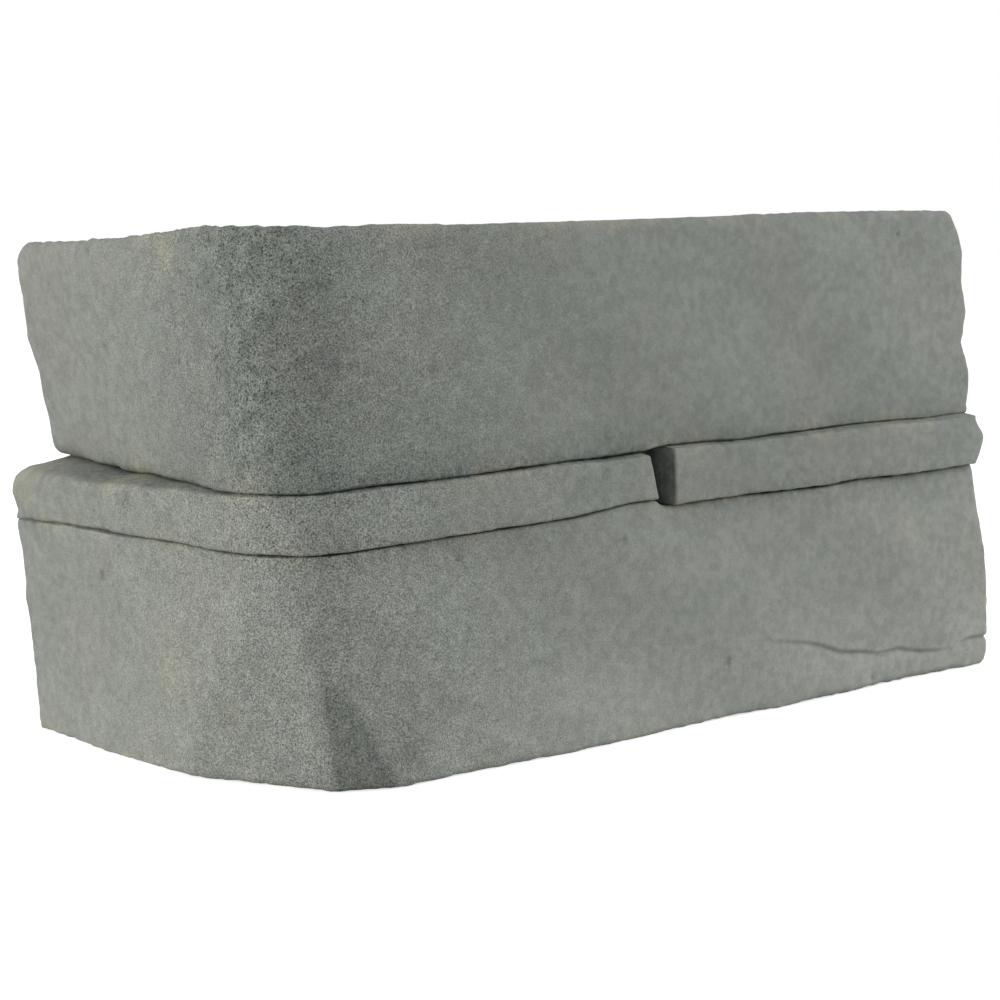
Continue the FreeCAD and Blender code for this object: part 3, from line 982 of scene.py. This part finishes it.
# Dark grains lie a little deeper than the rest
surface = cloud(bump_size, detail=2.0, noise=(0.0, 1.0), seed=5.0)
surface = add_node(tree, "ShaderNodeMath", {0: surface, 1: dark_sand}, operation="SUBTRACT")
bump = {"Height": surface, "Distance": bump_height, "Strength": bump_shows}
tree.links.new(add_node(tree, "ShaderNodeBump", bump), shader.inputs["Normal"])

modifier = cast_body.modifiers.new("stone_relief", "NODES")
modifier.node_group = relief
for item in relief.interface.items_tree:
    if item.in_out == "INPUT" and item.name in relief_sizes:
        modifier[item.identifier] = relief_sizes[item.name]
    if item.in_out == "INPUT" and item.name == "Material":
        modifier[item.identifier] = concrete

# The relief is made a plain mesh. The plain sides are thinned to fewer triangles, and the stone faces
# keep theirs
triangle_limit = 190000
plain_weight = 1000.0
sharp_turn = 70
plain_sides = cast_body.vertex_groups.new(name="plain_sides")
deep = np.broadcast_to(depth > 0, shape)[skin]
plain_sides.add(np.nonzero(deep)[0].tolist(), 1.0, "REPLACE")
thinned = cast_body.modifiers.new("thinned", "DECIMATE")
thinned.vertex_group = "plain_sides"
thinned.vertex_group_factor = plain_weight
thinned.ratio = triangle_limit / (2 * len(body_mesh.polygons))
finished = cast_body.evaluated_get(bpy.context.evaluated_depsgraph_get())
baked = bpy.data.meshes.new_from_object(finished)
cast_body.modifiers.clear()
cast_body.vertex_groups.clear()
cast_body.data = baked
bpy.data.meshes.remove(body_mesh)
baked.name = "cast_body"
baked.shade_smooth()
baked.set_sharp_from_angle(angle=math.radians(sharp_turn))

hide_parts("corner_panel")
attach(cast_body, "root")

# Floor and backdrop
# A plain floor of pale matt board. The camera sees it nearly white, and it keeps a faint shadow of
# the panel.

floor_width = 12
floor_grey = "#dddddd"
floor_glow = 0.6
white = linear("#ffffff")
bpy.ops.mesh.primitive_plane_add(size=floor_width)
floor = bpy.context.object
floor.name = "floor"
pale_floor = bpy.data.materials.new("pale_floor")
pale_floor.use_nodes = True
floor_tree = pale_floor.node_tree
matt = floor_tree.nodes["Principled BSDF"]
matt.inputs["Base Color"].default_value = linear(floor_grey)
matt.inputs["Roughness"].default_value = 1.0
glow = add_node(floor_tree, "ShaderNodeEmission", {"Color": white, "Strength": floor_glow})
seen = add_node(floor_tree, "ShaderNodeAddShader", {0: matt.outputs[0], 1: glow})
camera_ray = add_node(floor_tree, "ShaderNodeLightPath").node.outputs["Is Camera Ray"]
choice = add_node(floor_tree, "ShaderNodeMixShader", {0: camera_ray, 1: matt.outputs[0], 2: seen})
floor_tree.links.new(choice, floor_tree.nodes["Material Output"].inputs["Surface"])
floor.data.materials.append(pale_floor)

# Lamps and world
# Plain soft studio light: a large lamp left of the short face, a weaker one by the long end, and
# even light all round.

aim = Vector((0, 0, 0.07))
world_light = 0.70


def add_lamp(name, place, size, power, colour):
    """A square soft lamp that shines on the panel."""
    lamp = bpy.data.lights.new(name, "AREA")
    lamp.color = colour
    lamp.size = size
    lamp.energy = power
    lamp_object = bpy.data.objects.new(name, lamp)
    lamp_object.location = place
    lamp_object.rotation_euler = (aim - Vector(place)).to_track_quat("-Z", "Y").to_euler()
    bpy.context.collection.objects.link(lamp_object)


add_lamp("left_lamp", place=(-1.70, 0.53, 0.45), size=1.0, power=15, colour=(1.0, 0.98, 0.94))
add_lamp("right_lamp", place=(0.62, -0.42, 0.35), size=0.3, power=2.2, colour=(1, 1, 1))

world = bpy.data.worlds.new("studio")
bpy.context.scene.world = world
world.use_nodes = True
world_tree = world.node_tree
around = world_tree.nodes["Background"]
around.inputs["Color"].default_value = white
around.inputs["Strength"].default_value = world_light
shown_white = add_node(world_tree, "ShaderNodeBackground", {"Color": white, "Strength": 1.0})
rays = add_node(world_tree, "ShaderNodeLightPath").node.outputs
seen = rays["Is Camera Ray"]
for kind in ("Is Glossy Ray", "Is Transmission Ray"):
    seen = add_node(world_tree, "ShaderNodeMath", {0: seen, 1: rays[kind]}, operation="MAXIMUM")
choice = add_node(world_tree, "ShaderNodeMixShader", {0: seen, 1: around.outputs[0], 2: shown_white})
world_tree.links.new(choice, world_tree.nodes["World Output"].inputs["Surface"])

# Camera
# It stands left of the corner and a little above the panel, as the photographer's did, and is held
# a little askew.

camera_place = (-446.6, -575.3, 146.6)
camera_lens = 81.88
azimuth, elevation, roll = (math.radians(degrees) for degrees in (-37.44, 6.45, -2.25))

camera_data = bpy.data.cameras.new("camera")
camera_data.lens = camera_lens
camera = bpy.data.objects.new("camera", camera_data)
bpy.context.collection.objects.link(camera)
backwards = Vector((
    math.sin(azimuth) * math.cos(elevation),
    -math.cos(azimuth) * math.cos(elevation),
    math.sin(elevation),
))
level_right = (-backwards).cross(Vector((0, 0, 1))).normalized()
level_up = level_right.cross(-backwards)
right = math.cos(roll) * level_right + math.sin(roll) * level_up
up = math.cos(roll) * level_up - math.sin(roll) * level_right
stand = Matrix.Translation([mm * measure for measure in camera_place])
camera.matrix_world = stand @ Matrix((right, up, backwards)).transposed().to_4x4()
bpy.context.scene.camera = camera
bpy.context.scene.view_settings.view_transform = "Standard"
